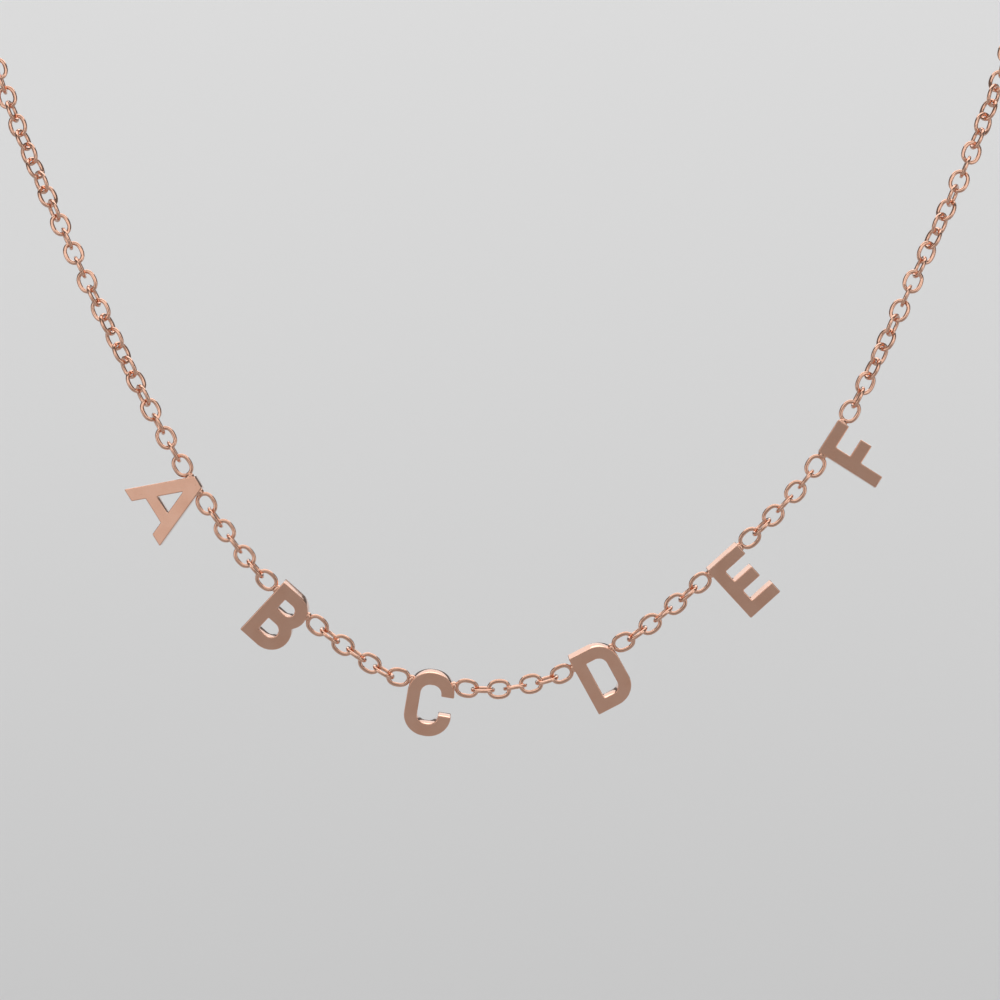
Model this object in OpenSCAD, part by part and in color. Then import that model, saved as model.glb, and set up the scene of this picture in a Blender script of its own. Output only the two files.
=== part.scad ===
// Nameplate necklace: six flat block letters soldered to end links and joined by short spans of
// cable chain. Two long chains run round the neck to a plain ring clasp at the nape.
// Origin: the nape of the neck, in the middle of the clasp. X right, Y to the back, Z up.

/* [Necklace] */
// Length of the whole closed loop, measured along the chain
loop_length = 406; // [384:2:420]
// Loose links between two neighbouring letters (odd, so that both ends interlock)
span_links = 5; // [3:2:7]
// Half turns of twist in the left long chain
left_half_turns = 4; // [0:1:6]
// Half turns of twist in the right long chain
right_half_turns = 6; // [0:1:6]
// How far the middle of the row of letters lies right of the loop's middle
row_shift = 3; // [0:0.5:6]

/* [Letters] */
// Height of every letter
letter_height = 6.5; // [5.6:0.1:7.4]
// Width of the strokes
stroke = 1.25; // [0.9:0.05:1.35]
// Width of the foot of letter A
a_width = 6.4; // [5.8:0.1:7]
// Width of the flat top of letter A
a_top = 1.3; // [1.1:0.1:1.6]
// Width of letter B
b_width = 4.2; // [3.9:0.1:4.8]
// Width of letter C
c_width = 4.5; // [4:0.1:5]
// Width of letter D
d_width = 4.3; // [4:0.1:5]
// Width of letter E
e_width = 3.8; // [3.4:0.1:4.4]
// Width of letter F
f_width = 3.6; // [3.2:0.1:4.2]
// Outer radius of the round corners of letters C and D
bowl_radius = 2.15; // [1.8:0.05:2.4]
// Thickness of the flat letter plates
letter_thickness = 1.2; // [0.9:0.1:1.6]
// Size of the solder bead between a letter and its end link
solder_size = 0.9; // [0.8:0.05:1]
// Space between a letter's side and the end link, bridged by solder
solder_space = 0.08; // [0.04:0.02:0.12]
// Depth of the end links below the top of letters A, E and F
corner_drop = 0.55; // [0.45:0.05:0.8]
// Depth of the end links below the top of the round-shouldered letters B, C and D
shoulder_drop = 1.2; // [1:0.05:1.6]

/* [Links] */
// Outer length of a link
link_length = 2.42; // [2.3:0.02:2.7]
// Outer width of a link
link_width = 1.92; // [1.7:0.02:2.1]
// Diameter of the link wire
wire = 0.38; // [0.3:0.01:0.4]
// Clear gap where two links interlock, at the full pitch
link_gap = 0.11; // [0.1:0.01:0.18]

/* [Clasp] */
// Radius of the clasp ring, to the middle of its wire
clasp_radius = 2; // [1.8:0.1:2.6]
// Diameter of the clasp wire
clasp_wire = 0.7; // [0.5:0.05:0.7]
// Radius of the eyelet on the clasp, to the middle of its wire
eyelet_radius = 0.62; // [0.6:0.02:0.8]
// Diameter of the eyelet wire
eyelet_wire = 0.4; // [0.3:0.02:0.4]

/* [Hidden] */
rose_gold = [0.84, 0.6, 0.5];
link_fn = 24;
letter_fn = 48;

// Route of the loop, chosen by hand: from the nape down the left side, along the row of letters and
// up the right side. The hidden back takes the plain way round.
route = [
    [0, 0, 0],
    [-14, -1, 0],
    [-30.5, -7.5, -1],
    [-43.8, -19.2, -5],
    [-51.5, -34, -12.5],
    [-53.5, -49.5, -23],
    [-52.3, -63, -34.5],
    [-47.9, -75.4, -48],
    [-40.15, -85.9, -63.2],
    [-31, -93.8, -79.3],
    [-22.4, -97.7, -90.6],
    [-11.5, -99.6, -99],
    [-6.2, -100, -100.4],
    [1, -100, -100.7],
    [9.5, -99.3, -97.9],
    [19.5, -97.7, -90.5],
    [31, -93.8, -79.3],
    [40.15, -85.9, -63.2],
    [47.9, -75.4, -48],
    [52.3, -63, -34.5],
    [53.5, -49.5, -23],
    [51.5, -34, -12.5],
    [43.8, -19.2, -5],
    [30.5, -7.5, -1],
    [14, -1, 0]
];
steps = 24;

// Smooth curve through the route's points
function route_point(i) = route[(i + len(route)) % len(route)];
function blend(a, b, c, d, t) =
    0.5 * (2 * b + (c - a) * t + (2 * a - 5 * b + 4 * c - d) * pow(t, 2)
        + (3 * b - a - 3 * c + d) * pow(t, 3));
drawn = [
    for (i = [0:len(route) * steps])
        let (k = floor(i / steps))
        blend(route_point(k - 1), route_point(k), route_point(k + 1), route_point(k + 2), i / steps - k)
];
last_drawn = len(drawn) - 1;
function drawn_step(i) = norm(drawn[min(i + 1, last_drawn)] - drawn[i]);
drawn_run = [for (i = 0, run = 0; i <= last_drawn; run = run + drawn_step(i), i = i + 1) run];
growth = loop_length / drawn_run[last_drawn];
axis_runs = [
    for (axis = [0:2])
        [for (i = [0:last_drawn]) [growth * drawn_run[i], growth * drawn[i][axis]]]
];
function at(run) = [for (axis = [0:2]) lookup(run, axis_runs[axis])];

// Frame between two points of the loop: x along it, z facing outwards
function unit(v) = v / norm(v);
function frame(a, b, outwards) =
    let (x = unit(b - a), z = unit(outwards - (outwards * x) * x), y = cross(z, x), o = (a + b) / 2)
    [[x.x, y.x, z.x, o.x], [x.y, y.y, z.y, o.y], [x.z, y.z, z.z, o.z], [0, 0, 0, 1]];
function facing(lean) = [0, -cos(lean), sin(lean)];

// Heights that the letters share
low_bowl = 0.52 * (letter_height + stroke);
high_bowl = letter_height + stroke - low_bowl;
a_slope = (a_width - a_top) / 2 / letter_height;
// Points of an arc; without a radius it is the corner itself
arc_steps = 12;
function arc(x, y, radius, from, to) = radius == 0 ? [[x, y]] : [
    for (i = [0:arc_steps])
        let (angle = from + (to - from) * i / arc_steps)
        [x + radius * cos(angle), y + radius * sin(angle)]
];
// Reach of a round side at a height above its own centre
function round_reach(radius, rise) = sqrt(radius * radius - rise * rise);
a_half = a_top / 2 + a_slope * corner_drop;
b_right = b_width - low_bowl / 2 + round_reach(high_bowl / 2, high_bowl / 2 - shoulder_drop);
// Round corners of letters C and D, limited by the width and the height they share
c_radius = min(bowl_radius, 0.48 * c_width);
d_radius = min(bowl_radius, 0.48 * letter_height);
c_half = c_width / 2 - c_radius + round_reach(c_radius, c_radius - shoulder_drop);
d_right = d_width - d_radius + round_reach(d_radius, d_radius - shoulder_drop);

// One row a letter: its left and right side where the links are soldered, their depth below its
// top, and how far its face leans back
LEFT = 0;
RIGHT = 1;
DROP = 2;
LEAN = 3;
letters = [
    [a_width / 2 - a_half, a_width / 2 + a_half, corner_drop, 0],
    [0, b_right, shoulder_drop, -4],
    [c_width / 2 - c_half, c_width / 2 + c_half, shoulder_drop, 0],
    [0, d_right, shoulder_drop, -4],
    [0, e_width, corner_drop, -6],
    [0, f_width, corner_drop, 18]
];
last_letter = len(letters) - 1;
// How far the middle of each span between two letters swings back on its own
span_swings = [15, 7, 20, 15, 8];

// Runs along the loop, worked out from the middle of the row of letters
pitch = link_length - 2 * wire - link_gap;
link_reach = link_length / 2 + solder_space;
span_run = span_links * pitch;
letter_runs = [for (letter = letters) letter[RIGHT] - letter[LEFT] + 2 * link_reach + pitch];
function sum(list, last) = last < 0 ? 0 : list[last] + sum(list, last - 1);
row_run = sum(letter_runs, last_letter) + last_letter * span_run;
first_run = loop_length / 2 + row_shift - row_run / 2;
starts = [for (i = [0:last_letter]) first_run + sum(letter_runs, i - 1) + i * span_run];
ends = [for (i = [0:last_letter]) starts[i] + letter_runs[i]];
left_reach = clasp_radius + 2 * eyelet_radius - eyelet_wire / 2 - link_gap / 2;
right_reach = clasp_radius - clasp_wire / 2 - link_gap / 2;

// One oval link in the XY plane, its length along X
module link() {
    bend = (link_width - wire) / 2;
    straight = link_length - link_width;
    for (side = [0, 180]) rotate([0, 0, side]) {
        translate([straight / 2, 0, 0])
            rotate([0, 0, -90])
                rotate_extrude(angle = 180, $fn = link_fn)
                    translate([bend, 0])
                        circle(d = wire, $fn = link_fn);
        translate([0, bend, 0])
            rotate([0, 90, 0])
                cylinder(d = wire, h = straight, center = true, $fn = link_fn);
    }
}

// Interlocked links from one run of the loop to another; every second link is turned on edge
module chain(from, to, count, from_lean, to_lean, swing = 0, half_turns = 0) {
    step = (to - from) / count;
    for (i = [0:count - 1]) {
        part = (i + 1) / (count + 1);
        lean = from_lean + (to_lean - from_lean) * part + swing * sin(180 * part);
        on_edge = i % 2 == 0 ? 90 : 0;
        multmatrix(frame(at(from + i * step), at(from + (i + 1) * step), facing(lean)))
            rotate([on_edge + 180 * half_turns * part, 0, 0])
                link();
    }
}

module span(i) {
    chain(ends[i], starts[i + 1], span_links, letters[i][LEAN], letters[i + 1][LEAN], span_swings[i]);
}

// An odd number of links, so that the last one stands on edge in the clasp
function odd_count(run) = 2 * ceil((run / pitch - 1) / 2) + 1;

// Plate of one letter with its two end links and solder beads, as one solid
module letter(i) {
    width = letters[i][RIGHT] - letters[i][LEFT];
    multmatrix(frame(at(starts[i]), at(ends[i]), facing(letters[i][LEAN]))) {
        translate([-width / 2 - letters[i][LEFT], letters[i][DROP] - letter_height, -letter_thickness / 2])
            linear_extrude(letter_thickness)
                children();
        for (side = [-1, 1]) {
            translate([side * (width / 2 + link_reach), 0, 0]) link();
            translate([side * width / 2, 0, 0]) sphere(d = solder_size, $fn = letter_fn);
        }
    }
}

// Outline with four square or rounded corners, counter-clockwise from its lower right
function rounded(left, foot, right, top, left_round, right_round) = concat(
    arc(right - right_round, foot + right_round, right_round, -90, 0),
    arc(right - right_round, top - right_round, right_round, 0, 90),
    arc(left + left_round, top - left_round, left_round, 90, 180),
    arc(left + left_round, foot + left_round, left_round, 180, 270)
);

module glyph_a() {
    side = stroke * sqrt(1 + pow(a_slope, 2));
    bar_foot = 0.2 * letter_height;
    bar_top = bar_foot + 0.85 * stroke;
    peak = (a_width / 2 - side) / a_slope;
    difference() {
        polygon([
            [0, 0],
            [a_width, 0],
            [(a_width + a_top) / 2, letter_height],
            [(a_width - a_top) / 2, letter_height]
        ]);
        polygon([
            [side - a_slope, -1],
            [a_width - side + a_slope, -1],
            [a_width - side - a_slope * bar_foot, bar_foot],
            [side + a_slope * bar_foot, bar_foot]
        ]);
        polygon([
            [side + a_slope * bar_top, bar_top],
            [a_width - side - a_slope * bar_top, bar_top],
            [a_width / 2, peak]
        ]);
    }
}

module glyph_b() {
    low = low_bowl / 2;
    high = high_bowl / 2;
    high_y = letter_height - high;
    x = b_width - low;
    notch = (pow(high_y, 2) - pow(low, 2) - pow(high, 2) + pow(low, 2)) / 2 / (high_y - low);
    difference() {
        polygon(concat(
            [[0, 0]],
            arc(x, low, low, -90, asin((notch - low) / low)),
            arc(x, high_y, high, asin((notch - high_y) / high), 90),
            [[0, letter_height]]
        ));
        for (bowl = [[low, low], [high_y, high]])
            polygon(concat(
                [[stroke, bowl[0] - bowl[1] + stroke]],
                arc(x, bowl[0], bowl[1] - stroke, -90, 90),
                [[stroke, bowl[0] + bowl[1] - stroke]]
            ));
    }
}

module glyph_c() {
    mouth = 0.3 * letter_height;
    inside = c_radius - stroke;
    difference() {
        polygon(rounded(0, 0, c_width, letter_height, c_radius, c_radius));
        polygon(rounded(stroke, stroke, c_width - stroke, letter_height - stroke, inside, inside));
        translate([c_width / 2, (letter_height - mouth) / 2]) square([c_width, mouth]);
    }
}

module glyph_d() {
    difference() {
        polygon(rounded(0, 0, d_width, letter_height, 0, d_radius));
        polygon(rounded(stroke, stroke, d_width - stroke, letter_height - stroke, 0, d_radius - stroke));
    }
}

// Stem with level bars on its right, each given by its width and height of its foot
module barred(bars) {
    square([stroke, letter_height]);
    for (bar = bars) translate([0, bar[1]]) square([bar[0], stroke]);
}

module glyph_e() {
    barred([
        [e_width, 0],
        [0.9 * e_width, (letter_height - stroke) / 2],
        [e_width, letter_height - stroke]
    ]);
}

module glyph_f() {
    barred([
        [0.88 * f_width, 0.46 * (letter_height - stroke)],
        [f_width, letter_height - stroke]
    ]);
}

module letter_a() { color(rose_gold) letter(0) glyph_a(); }
module letter_b() { color(rose_gold) letter(1) glyph_b(); }
module letter_c() { color(rose_gold) letter(2) glyph_c(); }
module letter_d() { color(rose_gold) letter(3) glyph_d(); }
module letter_e() { color(rose_gold) letter(4) glyph_e(); }
module letter_f() { color(rose_gold) letter(5) glyph_f(); }

module span_ab() { color(rose_gold) span(0); }
module span_bc() { color(rose_gold) span(1); }
module span_cd() { color(rose_gold) span(2); }
module span_de() { color(rose_gold) span(3); }
module span_ef() { color(rose_gold) span(4); }

module chain_left() {
    count = odd_count(starts[0] - left_reach);
    lean = letters[0][LEAN];
    color(rose_gold) chain(starts[0], left_reach, count, lean, 0, half_turns = left_half_turns);
}

module chain_right() {
    from = ends[last_letter];
    to = loop_length - right_reach;
    lean = letters[last_letter][LEAN];
    color(rose_gold) chain(from, to, odd_count(to - from), lean, 0, half_turns = right_half_turns);
}

// Closed ring with a small eyelet on its left, both standing upright against the neck
module clasp() {
    color(rose_gold) rotate([90, 0, 0]) {
        rotate_extrude($fn = letter_fn)
            translate([clasp_radius, 0])
                circle(d = clasp_wire, $fn = link_fn);
        translate([-clasp_radius - eyelet_radius, 0, 0])
            rotate_extrude($fn = letter_fn)
                translate([eyelet_radius, 0])
                    circle(d = eyelet_wire, $fn = link_fn);
    }
}

letter_a();
letter_b();
letter_c();
letter_d();
letter_e();
letter_f();
span_ab();
span_bc();
span_cd();
span_de();
span_ef();
chain_left();
chain_right();
clasp();
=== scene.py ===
"""Looks of the nameplate necklace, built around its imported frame.

Every link, letter, solder bead and the clasp are remade as fine meshes exactly where the frame holds
them, and dressed in polished rose gold. Lengths are in metres unless a name says otherwise.
"""

from __future__ import annotations

import logging
import math
from collections.abc import Iterable, Sequence
from dataclasses import dataclass, field
from enum import Enum

import bmesh
import bpy
import numpy as np
from mathutils import Matrix, Vector

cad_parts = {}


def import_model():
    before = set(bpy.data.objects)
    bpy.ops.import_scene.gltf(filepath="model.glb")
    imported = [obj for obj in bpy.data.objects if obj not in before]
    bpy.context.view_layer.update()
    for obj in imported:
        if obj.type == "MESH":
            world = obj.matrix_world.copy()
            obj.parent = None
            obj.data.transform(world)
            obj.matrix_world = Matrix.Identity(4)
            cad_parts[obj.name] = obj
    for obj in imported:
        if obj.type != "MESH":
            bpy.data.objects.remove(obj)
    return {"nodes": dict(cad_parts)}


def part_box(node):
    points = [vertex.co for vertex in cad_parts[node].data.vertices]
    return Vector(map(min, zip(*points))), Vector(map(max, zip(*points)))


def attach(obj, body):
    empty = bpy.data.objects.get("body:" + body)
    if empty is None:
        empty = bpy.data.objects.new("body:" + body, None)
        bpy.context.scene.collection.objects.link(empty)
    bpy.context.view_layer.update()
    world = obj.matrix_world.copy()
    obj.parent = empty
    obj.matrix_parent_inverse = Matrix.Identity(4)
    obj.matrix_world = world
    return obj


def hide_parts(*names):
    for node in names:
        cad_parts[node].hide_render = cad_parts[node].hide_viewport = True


LOG = logging.getLogger("necklace")
MM = 0.001
MERGE = 0.0005 * MM
BODY = "root"
BEAD_LEVEL = 3

# Cosines between a face's normal and the facing of its plate
FLAT = 0.9999
SLANTED = (0.02, 0.98)
# Y of the normal below which a face looks to the front
FRONTWARDS = -0.3

Color = tuple[float, float, float]
Range = tuple[float, float]


class Slot(Enum):
    """Names of three material slots of the record; nothing in this script uses them."""

    LETTER = "letter_metal"
    CHAIN = "chain_metal"
    CLASP = "clasp_metal"


class Side(Enum):
    """Side of a letter, as the sign along its row."""

    LEFT = -1
    RIGHT = 1


# Finishes


class NodeSheet:
    """A material's node tree, with short calls to add and join its nodes."""

    def __init__(self, material: bpy.types.Material) -> None:
        """Clears the material's nodes.

        Args:
            material: The material whose nodes are drawn.
        """
        material.use_nodes = True
        self.tree = material.node_tree
        self.tree.nodes.clear()

    def add(self, kind: str, **values: object) -> bpy.types.Node:
        """Adds a node.

        Args:
            kind: The node's type, without the ShaderNode before it.
            **values: Attributes of the node, or default values of its inputs.

        Returns:
            The new node.
        """
        node = self.tree.nodes.new("ShaderNode" + kind)
        for name, value in values.items():
            if hasattr(node, name):
                setattr(node, name, value)
            else:
                node.inputs[name.replace("_", " ").title()].default_value = value
        return node

    def join(self, source: bpy.types.NodeSocket, target: bpy.types.NodeSocket) -> None:
        """Links an output to an input."""
        self.tree.links.new(source, target)

    def spread(self, source: bpy.types.NodeSocket, low: float, high: float,
               start: float = 0.0, end: float = 1.0) -> bpy.types.NodeSocket:
        """Maps a value's range onto another.

        Args:
            source: The value.
            low: What the start becomes.
            high: What the end becomes.
            start: The value's low end.
            end: The value's high end.

        Returns:
            The mapped value.
        """
        node = self.add("MapRange")
        for name, value in (("From Min", start), ("From Max", end), ("To Min", low), ("To Max", high)):
            node.inputs[name].default_value = value
        self.join(source, node.inputs["Value"])
        return node.outputs["Result"]

    def mix(self, share: bpy.types.NodeSocket, first: Color, second: Color) -> bpy.types.NodeSocket:
        """Mixes two colours.

        Args:
            share: How much of the second colour shows.
            first: The colour at none.
            second: The colour at all.

        Returns:
            The mixed colour.
        """
        node = self.add("Mix", data_type="RGBA")
        colors = [socket for socket in node.inputs if socket.type == "RGBA"]
        colors[0].default_value = (*first, 1.0)
        colors[1].default_value = (*second, 1.0)
        self.join(share, node.inputs["Factor"])
        return next(socket for socket in node.outputs if socket.type == "RGBA")


@dataclass(frozen=True)
class RoseGold:
    """Polished rose-gold plating with the marks of polishing and wear."""

    name: str
    color: Color = (0.845, 0.49, 0.35)
    warm_color: Color = (0.815, 0.45, 0.31)
    roughness: float = 0.09
    dull_roughness: float = 0.2
    coat_weight: float = 1.0
    coat_roughness: float = 0.06
    cloud_size: float = 1.6 * MM
    cloud_range: Range = (0.35, 0.7)
    dull_range: Range = (0.4, 0.75)
    dull_share: float = 0.6
    scratch_share: float = 0.4
    wave_size: float = 2.4 * MM
    wave_height: float = 0.018 * MM
    scratch_size: float = 0.05 * MM
    scratch_length: float = 2.2 * MM
    scratch_height: float = 0.0006 * MM
    scratch_turns: Range = (35.0, 112.0)
    scratch_range: Range = (0.64, 0.74)
    pit_size: float = 0.7 * MM
    pit_height: float = 0.003 * MM
    pit_range: Range = (0.03, 0.09)

    def material(self) -> bpy.types.Material:
        """Draws the finish.

        Returns:
            The new material.
        """
        material = bpy.data.materials.new(self.name)
        sheet = NodeSheet(material)
        place = sheet.add("TexCoord").outputs["Object"]
        cloud = self._noise(sheet, place, self.cloud_size, detail=4.0)
        scratch = self._scratches(sheet, place)
        shader = sheet.add("BsdfPrincipled")
        for socket, value in (("Metallic", 1.0), ("Coat Weight", self.coat_weight),
                              ("Coat Roughness", self.coat_roughness)):
            shader.inputs[socket].default_value = value
        warmth = sheet.spread(cloud, 0, 1, *self.cloud_range)
        sheet.join(sheet.mix(warmth, self.color, self.warm_color), shader.inputs["Base Color"])
        dull = sheet.add("Math", operation="ADD", use_clamp=True)
        sheet.join(sheet.spread(cloud, 0, self.dull_share, *self.dull_range), dull.inputs[0])
        sheet.join(sheet.spread(scratch, 0, self.scratch_share), dull.inputs[1])
        sheet.join(sheet.spread(dull.outputs["Value"], self.roughness, self.dull_roughness),
                   shader.inputs["Roughness"])
        sheet.join(self._relief(sheet, place, scratch), shader.inputs["Normal"])
        sheet.join(shader.outputs["BSDF"], sheet.add("OutputMaterial").inputs["Surface"])
        return material

    def _noise(self, sheet: NodeSheet, place: bpy.types.NodeSocket, size: float,
               detail: float) -> bpy.types.NodeSocket:
        """Adds noise in spots.

        Args:
            sheet: The material's nodes.
            place: The place on the piece.
            size: About how large a spot is.
            detail: How much finer noise is laid over the spots.

        Returns:
            The noise, about 0.5 on average.
        """
        noise = sheet.add("TexNoise")
        noise.inputs["Scale"].default_value = 1.0 / size
        noise.inputs["Detail"].default_value = detail
        sheet.join(place, noise.inputs["Vector"])
        return noise.outputs[0]

    def _scratches(self, sheet: NodeSheet, place: bpy.types.NodeSocket) -> bpy.types.NodeSocket:
        """Adds fine straight scratches in two directions.

        Args:
            sheet: The material's nodes.
            place: The place on the piece.

        Returns:
            The scratches, from 0 to 1.
        """
        strokes = []
        for turn in self.scratch_turns:
            stretch = sheet.add("Mapping")
            stretch.inputs["Rotation"].default_value = (0.0, math.radians(turn), 0.0)
            stretch.inputs["Scale"].default_value = (
                1.0 / self.scratch_size, 1.0 / self.scratch_length, 1.0 / self.scratch_length)
            sheet.join(place, stretch.inputs["Vector"])
            lines = self._noise(sheet, stretch.outputs["Vector"], 1.0, detail=1.0)
            strokes.append(sheet.spread(lines, 0, 1, *self.scratch_range))
        both = sheet.add("Math", operation="MAXIMUM")
        for stroke, socket in zip(strokes, both.inputs):
            sheet.join(stroke, socket)
        return both.outputs["Value"]

    def _relief(self, sheet: NodeSheet, place: bpy.types.NodeSocket,
                scratch: bpy.types.NodeSocket) -> bpy.types.NodeSocket:
        """Adds polishing waves, small pits and the scratches to the surface.

        Args:
            sheet: The material's nodes.
            place: The place on the piece.
            scratch: The scratches, from 0 to 1.

        Returns:
            The bumped normal.
        """
        wave = self._noise(sheet, place, self.wave_size, detail=1.0)
        pits = sheet.add("TexVoronoi")
        pits.inputs["Scale"].default_value = 1.0 / self.pit_size
        sheet.join(place, pits.inputs["Vector"])
        pit = sheet.spread(pits.outputs["Distance"], 0, 1, *self.pit_range)
        normal = None
        for height, deep in ((wave, self.wave_height), (pit, self.pit_height),
                             (scratch, self.scratch_height)):
            bump = sheet.add("Bump")
            bump.inputs["Distance"].default_value = deep
            sheet.join(height, bump.inputs["Height"])
            if normal is not None:
                sheet.join(normal, bump.inputs["Normal"])
            normal = bump.outputs["Normal"]
        return normal


@dataclass(frozen=True)
class PaleFloorPaintedLight:
    """Matt pale paper with painted light and shade in its colour: painted darker at the front and under
    the object, and painted lighter towards the back and both sides to make up for the light falling off
    there.
    """

    name: str = "pale_floor_painted_light"
    # Painted shade: the darker colour of the floor in front of and under the object.
    near: Color = (0.548, 0.548, 0.549)
    # Painted light: the lighter colour of the floor far behind and at both sides.
    far: Color = (0.935, 0.935, 0.935)
    near_y: float = 0.18
    far_y: float = 1.1
    near_x: float = 0.45
    far_x: float = 1.5

    def material(self) -> bpy.types.Material:
        """Draws the paper, with its painted light and shade.

        Returns:
            The new material.
        """
        material = bpy.data.materials.new(self.name)
        sheet = NodeSheet(material)
        split = sheet.add("SeparateXYZ")
        sheet.join(sheet.add("TexCoord").outputs["Object"], split.inputs["Vector"])
        aside = sheet.add("Math", operation="ABSOLUTE")
        sheet.join(split.outputs["X"], aside.inputs[0])
        # Painted light and shade: the colour runs from the darker near colour to the lighter far colour,
        # towards the back and towards both sides.
        behind = sheet.spread(split.outputs["Y"], 0, 1, self.near_y, self.far_y)
        beside = sheet.spread(aside.outputs["Value"], 0, 1, self.near_x, self.far_x)
        share = sheet.add("Math", operation="MAXIMUM")
        sheet.join(behind, share.inputs[0])
        sheet.join(beside, share.inputs[1])
        shader = sheet.add("BsdfPrincipled")
        shader.inputs["Roughness"].default_value = 0.9
        sheet.join(sheet.mix(share.outputs["Value"], self.near, self.far), shader.inputs["Base Color"])
        sheet.join(shader.outputs["BSDF"], sheet.add("OutputMaterial").inputs["Surface"])
        return material


# Shared mesh work


def frame_matrix(along: Vector, facing: Vector, centre: Vector) -> Matrix:
    """Places a piece by its length and its face.

    Args:
        along: Direction of the piece's X.
        facing: Direction of its Z, square to X.
        centre: Where its origin goes.

    Returns:
        The placing matrix.
    """
    across = facing.cross(along)
    return Matrix.LocRotScale(centre, Matrix((along, across, facing)).transposed(), None)


def edges_at(verts: Iterable[bmesh.types.BMVert]) -> list[bmesh.types.BMEdge]:
    """Lists the edges at some corners, each once and in the same order each run."""
    return list(dict.fromkeys(edge for vert in verts for edge in vert.link_edges))


def add_placed(target: bmesh.types.BMesh, source: bpy.types.Mesh, place: Matrix) -> None:
    """Adds a placed copy of a mesh to a bmesh.

    Args:
        target: The bmesh that grows.
        source: The mesh to copy.
        place: Where the copy goes.
    """
    before = len(target.verts)
    target.from_mesh(source)
    target.verts.ensure_lookup_table()
    bmesh.ops.transform(target, matrix=place, verts=target.verts[before:])


def finish_piece(name: str, bm: bmesh.types.BMesh, material: bpy.types.Material,
                 nodes: Sequence[str]) -> bpy.types.Object:
    """Makes an object of a bmesh and fastens it to the frame.

    Args:
        name: The piece's name.
        bm: Its shape, in the frame's place. It is freed.
        material: Its finish.
        nodes: The frame's nodes that the piece stands for.

    Returns:
        The new object.
    """
    mesh = bpy.data.meshes.new(name)
    for face in bm.faces:
        face.smooth = True
    bm.to_mesh(mesh)
    bm.free()
    mesh.materials.append(material)
    piece = bpy.data.objects.new(name, mesh)
    bpy.context.scene.collection.objects.link(piece)
    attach(piece, BODY)
    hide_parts(*nodes)
    LOG.info("%s: %d faces", name, len(mesh.polygons))
    return piece


def subdivide(piece: bpy.types.Object) -> None:
    """Rounds a coarse cage by one level of subdivision."""
    rounding = piece.modifiers.new("round", "SUBSURF")
    rounding.levels = rounding.render_levels = 1


def cage_shrink(steps: int) -> float:
    """Share of its radius that a round cage keeps after one level of subdivision.

    Args:
        steps: Corners of the cage.

    Returns:
        The share.
    """
    return (6.0 + 2.0 * math.cos(math.tau / steps)) / 8.0


# Links


@dataclass(frozen=True)
class LinkShape:
    """An oval cable link of wire that is flattened on both faces by its rolling."""

    length: float = 2.42 * MM
    width: float = 1.92 * MM
    wire_width: float = 0.41 * MM
    wire_thickness: float = 0.37 * MM
    flat_share: float = 0.8
    wire_corners: int = 6
    bend_steps: int = 6

    def mesh(self) -> bpy.types.Mesh:
        """Models one link in its own frame, length along X and face along Z.

        Returns:
            The link's cage, which one level of subdivision rounds.
        """
        bm = bmesh.new()
        for side in Side:
            self._half(bm, side)
        rims = [edge for edge in bm.edges if edge.is_boundary]
        bmesh.ops.bridge_loops(bm, edges=[edge for edge in rims if edge.verts[0].co.y > 0])
        bmesh.ops.bridge_loops(bm, edges=[edge for edge in rims if edge.verts[0].co.y < 0])
        bmesh.ops.recalc_face_normals(bm, faces=bm.faces)
        mesh = bpy.data.meshes.new("link_cage")
        bm.to_mesh(mesh)
        bm.free()
        return mesh

    def _half(self, bm: bmesh.types.BMesh, side: Side) -> None:
        """Spins one rounded end of the link.

        Args:
            bm: The link's bmesh.
            side: The end's side.
        """
        bend = (self.width - self.wire_width) / 2.0 / cage_shrink(2 * self.bend_steps)
        centre = Vector((side.value * (self.length - self.width) / 2.0, 0.0, 0.0))
        ring = bmesh.ops.create_circle(bm, segments=self.wire_corners, radius=1.0)["verts"]
        # Two corners stand at the tips, and the others, at half their height, widen into the flat faces.
        flats = [vert for vert in ring if abs(vert.co.x) > 0.1]
        widen = 1.0 / math.cos(math.pi / self.wire_corners)
        bmesh.ops.scale(bm, vec=(widen, 2.0 * self.flat_share, 1.0), verts=flats)
        # Subdivision leaves a tip three quarters of its own height and a quarter of its neighbours'.
        tip = 0.75 + 0.25 * self.flat_share
        bmesh.ops.scale(bm, vec=(self.wire_thickness / 2.0, self.wire_width / 2.0 / tip, 1.0), verts=ring)
        bmesh.ops.rotate(bm, cent=(0, 0, 0), matrix=Matrix.Rotation(math.pi / 2, 3, "Y"), verts=ring)
        bmesh.ops.translate(bm, vec=centre + Vector((0.0, -bend, 0.0)), verts=ring)
        bmesh.ops.spin(bm, geom=ring + edges_at(ring), cent=centre, axis=(0.0, 0.0, side.value),
                       angle=math.pi, steps=self.bend_steps, use_duplicate=False)


@dataclass(frozen=True)
class Island:
    """One loose solid of a frame node, with its own axes."""

    centre: Vector
    along: Vector
    facing: Vector

    @classmethod
    def of_faces(cls, faces: Iterable[bmesh.types.BMFace]) -> Island:
        """Measures a loose solid.

        Args:
            faces: The solid's faces.

        Returns:
            Its centre, its longest axis and its shortest.
        """
        spots = [(face.calc_center_median(), face.calc_area()) for face in faces]
        areas = np.array([area for _, area in spots])
        points = np.array([tuple(spot) for spot, _ in spots])
        centre = np.average(points, axis=0, weights=areas)
        offsets = points - centre
        _, axes = np.linalg.eigh((offsets * areas[:, None]).T @ offsets)
        return cls(Vector(centre), Vector(axes[:, 2]).normalized(), Vector(axes[:, 0]).normalized())

    def place(self) -> Matrix:
        """Returns the matrix that puts a link here."""
        return frame_matrix(self.along, self.facing, self.centre)


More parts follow.
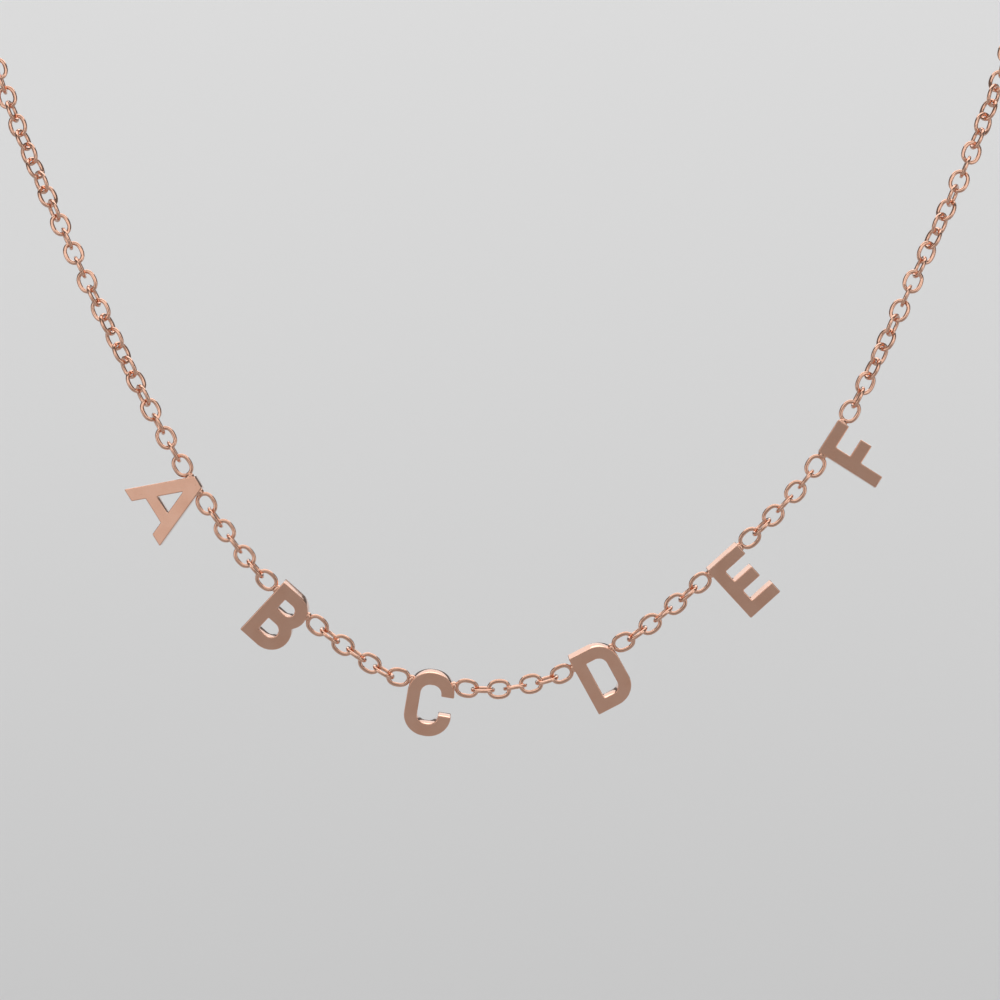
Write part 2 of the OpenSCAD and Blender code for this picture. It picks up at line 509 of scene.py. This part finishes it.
def islands(node: bpy.types.Object) -> list[Island]:
    """Finds the loose solids of a node.

    Args:
        node: The frame's node.

    Returns:
        Its solids, in the order of their faces.
    """
    bm = bmesh.new()
    bm.from_mesh(node.data)
    bmesh.ops.remove_doubles(bm, verts=bm.verts, dist=MERGE)
    found = []
    seen: set[bmesh.types.BMFace] = set()
    for first in bm.faces:
        if first in seen:
            continue
        group, waiting = [], [first]
        seen.add(first)
        while waiting:
            face = waiting.pop()
            group.append(face)
            for edge in face.edges:
                for near in edge.link_faces:
                    if near not in seen:
                        seen.add(near)
                        waiting.append(near)
        found.append(Island.of_faces(group))
    bm.free()
    return found


@dataclass
class ChainRun:
    """A stretch of loose interlocked links, as one joined mesh."""

    node: str
    link: LinkShape = field(default_factory=LinkShape)

    def build(self, nodes: dict[str, bpy.types.Object], metal: bpy.types.Material) -> bpy.types.Object:
        """Models the stretch where the frame holds its links.

        Args:
            nodes: The frame's nodes.
            metal: The links' finish.

        Returns:
            The joined links.
        """
        cage = self.link.mesh()
        bm = bmesh.new()
        for island in islands(nodes[self.node]):
            add_placed(bm, cage, island.place())
        bpy.data.meshes.remove(cage)
        piece = finish_piece(f"{self.node}_links", bm, metal, [self.node])
        subdivide(piece)
        return piece


# Letters


@dataclass(frozen=True)
class LetterSeat:
    """Where a letter's plate and its two end links lie in the frame."""

    along: Vector
    facing: Vector
    thickness: float
    front: float
    links: dict[Side, Vector]

    @classmethod
    def of_node(cls, node: bpy.types.Object, link: LinkShape) -> LetterSeat:
        """Measures a letter's solid.

        Args:
            node: The letter's node.
            link: The shape of its end links.

        Returns:
            The letter's seat.
        """
        faces = node.data.polygons
        count = len(faces)
        normals, centres, areas = np.empty(count * 3), np.empty(count * 3), np.empty(count)
        faces.foreach_get("normal", normals)
        faces.foreach_get("center", centres)
        faces.foreach_get("area", areas)
        normals, centres = normals.reshape(-1, 3), centres.reshape(-1, 3)
        largest = normals[np.argmax(areas * (normals[:, 1] < FRONTWARDS))]
        level = normals @ largest
        facing = np.average(normals[level > FLAT], axis=0, weights=areas[level > FLAT])
        facing /= np.linalg.norm(facing)
        depth = centres @ facing
        front, back = depth[level > FLAT].max(), depth[level < -FLAT].min()
        round_wire = (np.abs(level) > SLANTED[0]) & (np.abs(level) < SLANTED[1])
        along, ends = cls._row(centres[round_wire], areas[round_wire], facing, link)
        middle = (front + back) / 2.0
        links = {side: Vector(spot + facing * (middle - spot @ facing)) for side, spot in ends.items()}
        return cls(Vector(along), Vector(facing), front - back, front, links)

    @staticmethod
    def _row(points: np.ndarray, areas: np.ndarray, facing: np.ndarray,
             link: LinkShape) -> tuple[np.ndarray, dict[Side, np.ndarray]]:
        """Finds the end links by the faces of their round wire.

        Args:
            points: The faces' centres.
            areas: The faces' areas.
            facing: The plate's facing.
            link: The shape of the end links.

        Returns:
            The direction from the left end link to the right one, and the centre of each.
        """
        across = np.array((1.0, 0.0, 0.0))
        across -= facing * (across @ facing)
        offsets = points - np.average(points, axis=0, weights=areas)
        _, axes = np.linalg.eigh((offsets * areas[:, None]).T @ offsets)
        along = axes[:, 2] * np.sign(axes[:, 2] @ across)
        ends: dict[Side, np.ndarray] = {}
        for _ in range(3):
            for side in Side:
                reach = side.value * (points @ along)
                outer = reach > reach.max() - link.width / 2.0
                spot = np.average(points[outer], axis=0, weights=areas[outer])
                ends[side] = spot + side.value * along * (reach.max() - link.length / 2.0
                                                          - side.value * (spot @ along))
            along = ends[Side.RIGHT] - ends[Side.LEFT]
            along -= facing * (along @ facing)
            along /= np.linalg.norm(along)
        return along, ends


@dataclass
class NameLetter:
    """A flat block letter with its two soldered end links."""

    node: str
    link: LinkShape = field(default_factory=LinkShape)
    edge_round: float = 0.08 * MM
    edge_steps: int = 3
    inner_reach: float = 0.12 * MM
    outer_reach: float = 0.11 * MM
    corner_turn: float = 25.0
    corner_steps: int = 3
    solder_space: float = 0.08 * MM
    bead: tuple[float, float, float] = (0.40 * MM, 0.46 * MM, 0.40 * MM)

    def build(self, nodes: dict[str, bpy.types.Object], plate_metal: bpy.types.Material,
              wire_metal: bpy.types.Material, solder_metal: bpy.types.Material) -> None:
        """Models the letter where the frame holds it.

        Args:
            nodes: The frame's nodes.
            plate_metal: The plate's finish.
            wire_metal: The end links' finish.
            solder_metal: The solder's finish.
        """
        node = nodes[self.node]
        seat = LetterSeat.of_node(node, self.link)
        self._plate(node, seat, plate_metal)
        self._end_links(seat, wire_metal)
        self._solder(seat, solder_metal)

    def _plate(self, node: bpy.types.Object, seat: LetterSeat, metal: bpy.types.Material) -> None:
        """Builds the plate on the outline of the node's front face.

        Args:
            node: The letter's node.
            seat: Where its plate lies.
            metal: The plate's finish.
        """
        bm = self._outline(node, seat)
        bmesh.ops.triangle_fill(bm, edges=bm.edges, use_beauty=True, normal=seat.facing)
        self._rounded_front(bm, seat)
        rims = [edge for edge in bm.edges if edge.is_boundary]
        wall = bmesh.ops.extrude_edge_only(bm, edges=rims)["geom"]
        bmesh.ops.translate(bm, vec=-seat.facing * (seat.thickness / 2.0 - self.edge_round),
                            verts=[part for part in wall if isinstance(part, bmesh.types.BMVert)])
        middle = frame_matrix(seat.along, seat.facing, seat.links[Side.LEFT])
        bmesh.ops.mirror(bm, geom=[*bm.verts, *bm.edges, *bm.faces], matrix=middle.inverted(), axis="Z")
        bmesh.ops.remove_doubles(bm, verts=bm.verts, dist=MERGE)
        bmesh.ops.recalc_face_normals(bm, faces=bm.faces)
        flats = [face.index for face in bm.faces if abs(face.normal.dot(seat.facing)) > FLAT]
        piece = finish_piece(f"{self.node}_plate", bm, metal, [self.node])
        for index in flats:
            piece.data.polygons[index].use_smooth = False
        even = piece.modifiers.new("even_faces", "WEIGHTED_NORMAL")
        even.keep_sharp = True

    def _outline(self, node: bpy.types.Object, seat: LetterSeat) -> bmesh.types.BMesh:
        """Traces the node's front face and rounds its corners.

        Args:
            node: The letter's node.
            seat: Where its plate lies.

        Returns:
            A bmesh of bare closed outlines.
        """
        bm = bmesh.new()
        bm.from_mesh(node.data)
        bmesh.ops.remove_doubles(bm, verts=bm.verts, dist=MERGE)
        bm.normal_update()
        others = [face for face in bm.faces
                  if face.normal.dot(seat.facing) < FLAT
                  or abs(face.calc_center_median().dot(seat.facing) - seat.front) > 10.0 * MERGE]
        bmesh.ops.delete(bm, geom=others, context="FACES")
        bmesh.ops.dissolve_limit(bm, angle_limit=math.radians(1.0), verts=bm.verts, edges=bm.edges)
        inner, outer = [], []
        for vert in bm.verts:
            inside = math.degrees(sum(loop.calc_angle() for loop in vert.link_loops))
            if inside > 180.0 + self.corner_turn:
                inner.append(vert)
            elif inside < 180.0 - self.corner_turn:
                outer.append(vert)
        crossing = [edge for edge in bm.edges if not edge.is_boundary]
        bmesh.ops.delete(bm, geom=list(bm.faces), context="FACES_ONLY")
        bmesh.ops.delete(bm, geom=crossing, context="EDGES")
        for corners, reach in ((inner, self.inner_reach), (outer, self.outer_reach)):
            bmesh.ops.bevel(bm, geom=corners, offset=reach, offset_type="OFFSET", affect="VERTICES",
                            segments=self.corner_steps, profile=0.5, material=-1)
        return bm

    def _rounded_front(self, bm: bmesh.types.BMesh, seat: LetterSeat) -> None:
        """Rounds the rim of the flat front sheet, from the side wall up to the face.

        Args:
            bm: The sheet, which lies in the plate's front face.
            seat: Where the plate lies.
        """
        sheet = list(bm.faces)
        bmesh.ops.translate(bm, vec=-seat.facing * self.edge_round, verts=bm.verts)
        turn = math.pi / 2.0 / self.edge_steps
        for step in range(self.edge_steps):
            inwards = math.cos(step * turn) - math.cos((step + 1) * turn)
            forwards = math.sin((step + 1) * turn) - math.sin(step * turn)
            bmesh.ops.inset_region(bm, faces=sheet, thickness=self.edge_round * inwards,
                                   use_boundary=True, use_even_offset=True)
            inner_verts = dict.fromkeys(vert for face in sheet for vert in face.verts)
            bmesh.ops.translate(bm, vec=seat.facing * self.edge_round * forwards,
                                verts=list(inner_verts))

    def _end_links(self, seat: LetterSeat, metal: bpy.types.Material) -> None:
        """Places the two links that the plate is soldered to.

        Args:
            seat: Where the plate and its links lie.
            metal: The links' finish.
        """
        cage = self.link.mesh()
        bm = bmesh.new()
        for side in Side:
            add_placed(bm, cage, frame_matrix(seat.along, seat.facing, seat.links[side]))
        bpy.data.meshes.remove(cage)
        subdivide(finish_piece(f"{self.node}_end_links", bm, metal, [self.node]))

    def _solder(self, seat: LetterSeat, metal: bpy.types.Material) -> None:
        """Flows a bead of solder between the plate and each end link.

        Args:
            seat: Where the plate and its links lie.
            metal: The solder's finish.
        """
        bm = bmesh.new()
        for side in Side:
            reach = self.link.length / 2.0 + self.solder_space
            centre = seat.links[side] - side.value * seat.along * reach
            shape = Matrix.Diagonal((*self.bead, 1.0))
            bmesh.ops.create_icosphere(bm, subdivisions=BEAD_LEVEL, radius=1.0,
                                       matrix=frame_matrix(seat.along, seat.facing, centre) @ shape)
        finish_piece(f"{self.node}_solder", bm, metal, [self.node])


# Clasp


@dataclass(frozen=True)
class Hoop:
    """A closed ring of round wire in the clasp's upright plane."""

    centre: Vector
    radius: float
    wire: float
    steps: int
    sides: int = 12

    def add_to(self, bm: bmesh.types.BMesh) -> None:
        """Spins the ring.

        Args:
            bm: The bmesh that grows.
        """
        ring = bmesh.ops.create_circle(bm, segments=self.sides, radius=self.wire / 2.0)["verts"]
        bmesh.ops.translate(bm, vec=self.centre + Vector((self.radius, 0.0, 0.0)), verts=ring)
        bmesh.ops.spin(bm, geom=ring + edges_at(ring), cent=self.centre, axis=(0.0, 1.0, 0.0),
                       angle=math.tau, steps=self.steps, use_merge=True, use_duplicate=False)


@dataclass
class RingClasp:
    """The plain closed clasp at the nape: a ring with an eyelet for the left chain."""

    node: str = "clasp"
    wire: float = 0.7 * MM
    eyelet_wire: float = 0.4 * MM
    eyelet_radius: float = 0.62 * MM
    bead: tuple[float, float, float] = (0.26 * MM, 0.30 * MM, 0.42 * MM)
    bead_shift: float = 0.3

    def build(self, metal: bpy.types.Material) -> None:
        """Models the clasp in the frame's box for it.

        Args:
            metal: The clasp's finish.
        """
        low, high = (Vector(corner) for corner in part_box(self.node))
        middle = (low + high) / 2.0
        radius = (high.z - low.z - self.wire) / 2.0
        centre = Vector((high.x - radius - self.wire / 2.0, middle.y, middle.z))
        eyelet = centre - Vector((radius + self.eyelet_radius, 0.0, 0.0))
        bm = bmesh.new()
        Hoop(centre, radius, self.wire, steps=48).add_to(bm)
        Hoop(eyelet, self.eyelet_radius, self.eyelet_wire, steps=28).add_to(bm)
        solder = centre - Vector((radius + self.wire * self.bead_shift, 0.0, 0.0))
        bmesh.ops.create_icosphere(bm, subdivisions=BEAD_LEVEL, radius=1.0,
                                   matrix=Matrix.LocRotScale(solder, None, self.bead))
        bmesh.ops.recalc_face_normals(bm, faces=bm.faces)
        finish_piece("ring_clasp", bm, metal, [self.node])


# Studio


@dataclass(frozen=True)
class Softbox:
    """A plain soft rectangular light."""

    name: str
    place: Vector
    width: float
    height: float
    radiance: float

    def build(self, aim: Vector) -> None:
        """Hangs the light and turns it to the object.

        Args:
            aim: The point that the light faces.
        """
        lamp = bpy.data.lights.new(self.name, "AREA")
        lamp.shape = "RECTANGLE"
        lamp.size, lamp.size_y = self.width, self.height
        lamp.energy = self.radiance * math.pi * self.width * self.height
        box = bpy.data.objects.new(self.name, lamp)
        box.location = self.place
        box.rotation_mode = "QUATERNION"
        box.rotation_quaternion = (aim - self.place).to_track_quat("-Z", "Y")
        bpy.context.scene.collection.objects.link(box)


@dataclass
class Studio:
    """Pale floor, soft light and the camera at the photo's angle."""

    aim: Vector = field(default_factory=lambda: Vector((0.0, -96.0, -82.25)) * MM)
    view_width: float = 95.24 * MM
    distance: float = 1.3
    elevation: float = math.radians(20.0)
    floor_drop: float = 0.36
    floor_size: float = 6.0
    room: Color = (0.15, 0.15, 0.15)

    def build(self) -> None:
        """Builds the whole studio."""
        self._floor()
        self._camera()
        self._world()
        for light in self._lights():
            light.build(self.aim)
        bpy.context.scene.view_settings.view_transform = "Standard"

    def _lights(self) -> list[Softbox]:
        """Lists the soft panels.

        Returns:
            The panels overhead, behind, in front, low in front, at both sides and low at the left.
        """
        return [
            Softbox("top_panel", Vector((0.0, 0.6, 1.1)), 2.4, 1.6, 1.34),
            Softbox("back_panel", Vector((0.0, 1.9, 0.75)), 3.0, 1.1, 0.95),
            Softbox("front_panel", Vector((0.0, -1.2, 1.2)), 2.6, 1.1, 0.92),
            Softbox("low_front_panel", Vector((0.0, -2.4, 0.55)), 3.2, 1.1, 0.22),
            Softbox("left_panel", Vector((-1.4, -1.2, 0.3)), 1.0, 1.1, 0.95),
            Softbox("right_panel", Vector((1.4, -1.2, 0.3)), 1.0, 1.1, 0.95),
            Softbox("low_left_panel", Vector((-0.6, -1.8, 0.04)), 0.8, 0.6, 0.37),
        ]

    def _floor(self) -> None:
        """Lays the pale floor."""
        bm = bmesh.new()
        bmesh.ops.create_grid(bm, x_segments=1, y_segments=1, size=self.floor_size / 2.0,
                              matrix=Matrix.Translation((0.0, 0.0, -self.floor_drop)))
        mesh = bpy.data.meshes.new("floor")
        bm.to_mesh(mesh)
        bm.free()
        mesh.materials.append(PaleFloorPaintedLight().material())
        floor = bpy.data.objects.new("floor", mesh)
        bpy.context.scene.collection.objects.link(floor)

    def _camera(self) -> None:
        """Sets the camera in front of the letters, looking slightly down."""
        lens = bpy.data.cameras.new("camera")
        lens.sensor_fit = "HORIZONTAL"
        lens.lens = lens.sensor_width * self.distance / self.view_width
        lens.clip_start, lens.clip_end = 0.01, 20.0
        camera = bpy.data.objects.new("camera", lens)
        back = Vector((0.0, -math.cos(self.elevation), math.sin(self.elevation)))
        camera.location = self.aim + back * self.distance
        camera.rotation_mode = "QUATERNION"
        camera.rotation_quaternion = (-back).to_track_quat("-Z", "Y")
        bpy.context.scene.collection.objects.link(camera)
        bpy.context.scene.camera = camera

    def _world(self) -> None:
        """Leaves the rest of the room dim."""
        world = bpy.data.worlds.new("studio")
        bpy.context.scene.world = world
        sheet = NodeSheet(world)
        room = sheet.add("Background")
        room.inputs["Color"].default_value = (*self.room, 1.0)
        sheet.join(room.outputs["Background"], sheet.add("OutputWorld").inputs["Surface"])


def corners(box: tuple[Vector, Vector]) -> list[list[float]]:
    """Turns a box into plain lists of numbers."""
    return [list(corner) for corner in box]


def main() -> None:
    """Builds the necklace and its studio in order."""
    logging.basicConfig(level=logging.INFO, format="%(name)s: %(message)s")
    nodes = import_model()["nodes"]
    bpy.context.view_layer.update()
    chain_metal = RoseGold("chain_gold").material()
    letter_metal = RoseGold("letter_gold").material()
    solder_metal = RoseGold("solder_gold", roughness=0.22, dull_roughness=0.36,
                            wave_size=0.5 * MM).material()
    for name in sorted(nodes):
        if name.startswith("letter_"):
            NameLetter(name).build(nodes, letter_metal, chain_metal, solder_metal)
        elif name.startswith(("span_", "chain_")):
            ChainRun(name).build(nodes, chain_metal)
    RingClasp().build(chain_metal)
    Studio().build()


if __name__ == "__main__":
    main()
